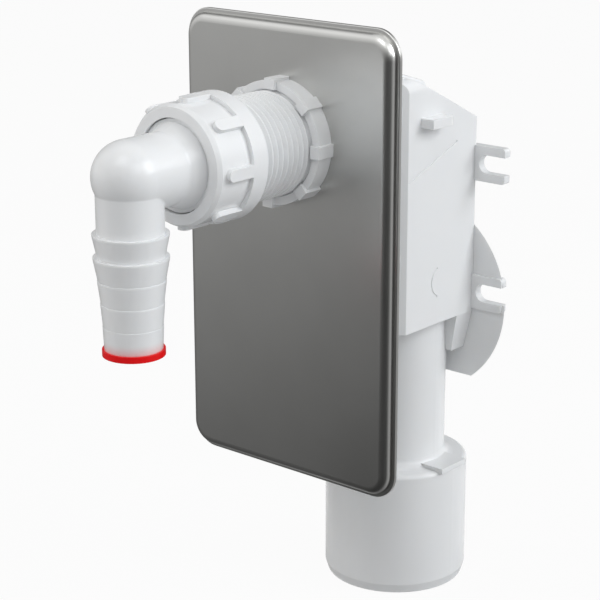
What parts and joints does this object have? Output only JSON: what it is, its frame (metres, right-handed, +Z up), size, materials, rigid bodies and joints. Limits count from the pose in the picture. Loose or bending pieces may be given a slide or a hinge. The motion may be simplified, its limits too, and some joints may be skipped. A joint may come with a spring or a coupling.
{
  "type": "in-wall washing machine trap",
  "caption": "In-wall washing machine trap: boxed water seal with a downward outlet spigot, a steel cover plate on a threaded inlet, a union nut and a barbed hose elbow.",
  "frame": {"origin": "centre of the outlet spigot's lower end", "axes": "+Z up along the outlet axis, -Y towards the front of the cover plate, +X to the right seen from the front"},
  "size_m": [0.0864, 0.1639, 0.204],
  "materials": {
    "white_plastic": "satin moulded polypropylene",
    "steel": "satin pressed stainless steel",
    "red_plastic": "smooth moulded",
    "rubber": "plain"
  },
  "bodies": {
    "trap": {"trap_body": "white_plastic", "back_cover": "white_plastic", "cover_plate": "steel", "ring_nut": "white_plastic", "union_gasket": "rubber", "union_nut": "white_plastic"},
    "elbow": {"hose_elbow": "white_plastic", "barb_plug": "red_plastic"}
  },
  "joints": [
    {"name": "elbow_swivel", "type": "hinge", "parent": "trap", "child": "elbow", "pos_m": [0, -0.1023, 0.166], "axis": [0, -1, 0], "continuous": true}
  ]
}
